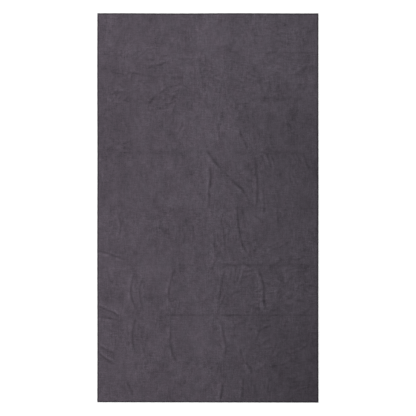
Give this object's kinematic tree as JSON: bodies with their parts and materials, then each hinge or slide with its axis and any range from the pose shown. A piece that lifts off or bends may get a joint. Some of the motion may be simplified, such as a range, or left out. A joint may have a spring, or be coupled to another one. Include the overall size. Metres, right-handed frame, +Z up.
{
  "type": "quick dry towel",
  "caption": "Thin rectangular microfibre travel towel, spread flat, with an overlocked edge all round and crosswise fold creases that fold it into a flat roll.",
  "frame": {"origin": "centre of the towel's underside, spread flat, in the plane of the floor", "axes": "+X across the width towards the right edge as seen from above, +Y along the length towards the head end, +Z up out of the face"},
  "size_m": [0.85, 1.5, 0.0016],
  "materials": {
    "towelling": "matte",
    "looper_thread": "matte",
    "needle_thread": "satin",
    "label_satin": "satin"
  },
  "bodies": {
    "panel_1": {"cloth_panel_1": "towelling", "looper_threads_left_1": "looper_thread", "looper_threads_right_1": "looper_thread", "needle_thread_left_1": "needle_thread", "needle_thread_right_1": "needle_thread", "looper_threads_foot": "looper_thread", "needle_thread_foot": "needle_thread", "care_label": "label_satin"},
    "panel_2": {"cloth_panel_2": "towelling", "looper_threads_left_2": "looper_thread", "looper_threads_right_2": "looper_thread", "needle_thread_left_2": "needle_thread", "needle_thread_right_2": "needle_thread"},
    "panel_3": {"cloth_panel_3": "towelling", "looper_threads_left_3": "looper_thread", "looper_threads_right_3": "looper_thread", "needle_thread_left_3": "needle_thread", "needle_thread_right_3": "needle_thread"},
    "panel_4": {"cloth_panel_4": "towelling", "looper_threads_left_4": "looper_thread", "looper_threads_right_4": "looper_thread", "needle_thread_left_4": "needle_thread", "needle_thread_right_4": "needle_thread"},
    "panel_5": {"cloth_panel_5": "towelling", "looper_threads_left_5": "looper_thread", "looper_threads_right_5": "looper_thread", "needle_thread_left_5": "needle_thread", "needle_thread_right_5": "needle_thread"},
    "panel_6": {"cloth_panel_6": "towelling", "looper_threads_left_6": "looper_thread", "looper_threads_right_6": "looper_thread", "needle_thread_left_6": "needle_thread", "needle_thread_right_6": "needle_thread"},
    "panel_7": {"cloth_panel_7": "towelling", "looper_threads_left_7": "looper_thread", "looper_threads_right_7": "looper_thread", "needle_thread_left_7": "needle_thread", "needle_thread_right_7": "needle_thread"},
    "panel_8": {"cloth_panel_8": "towelling", "looper_threads_left_8": "looper_thread", "looper_threads_right_8": "looper_thread", "needle_thread_left_8": "needle_thread", "needle_thread_right_8": "needle_thread", "looper_threads_head": "looper_thread", "needle_thread_head": "needle_thread"}
  },
  "joints": [
    {"name": "crease_3", "type": "hinge", "parent": "panel_4", "child": "panel_3", "pos_m": [0, -0.221, 0.00585], "axis": [-1, 0, 0], "range_deg": [0, 180]},
    {"name": "crease_2", "type": "hinge", "parent": "panel_3", "child": "panel_2", "pos_m": [0, -0.414, 0.00435], "axis": [-1, 0, 0], "range_deg": [0, 180]},
    {"name": "crease_1", "type": "hinge", "parent": "panel_2", "child": "panel_1", "pos_m": [0, -0.6, 0.00285], "axis": [-1, 0, 0], "range_deg": [0, 180]},
    {"name": "crease_4", "type": "hinge", "parent": "panel_4", "child": "panel_5", "pos_m": [0, -0.003, 0.01185], "axis": [1, 0, 0], "range_deg": [0, 180]},
    {"name": "crease_5", "type": "hinge", "parent": "panel_5", "child": "panel_6", "pos_m": [0, 0.213, 0.00585], "axis": [1, 0, 0], "range_deg": [0, 180]},
    {"name": "crease_6", "type": "hinge", "parent": "panel_6", "child": "panel_7", "pos_m": [0, 0.4195, 0.00435], "axis": [1, 0, 0], "range_deg": [0, 180]},
    {"name": "crease_7", "type": "hinge", "parent": "panel_7", "child": "panel_8", "pos_m": [0, 0.599, 0.00285], "axis": [1, 0, 0], "range_deg": [0, 180]}
  ]
}
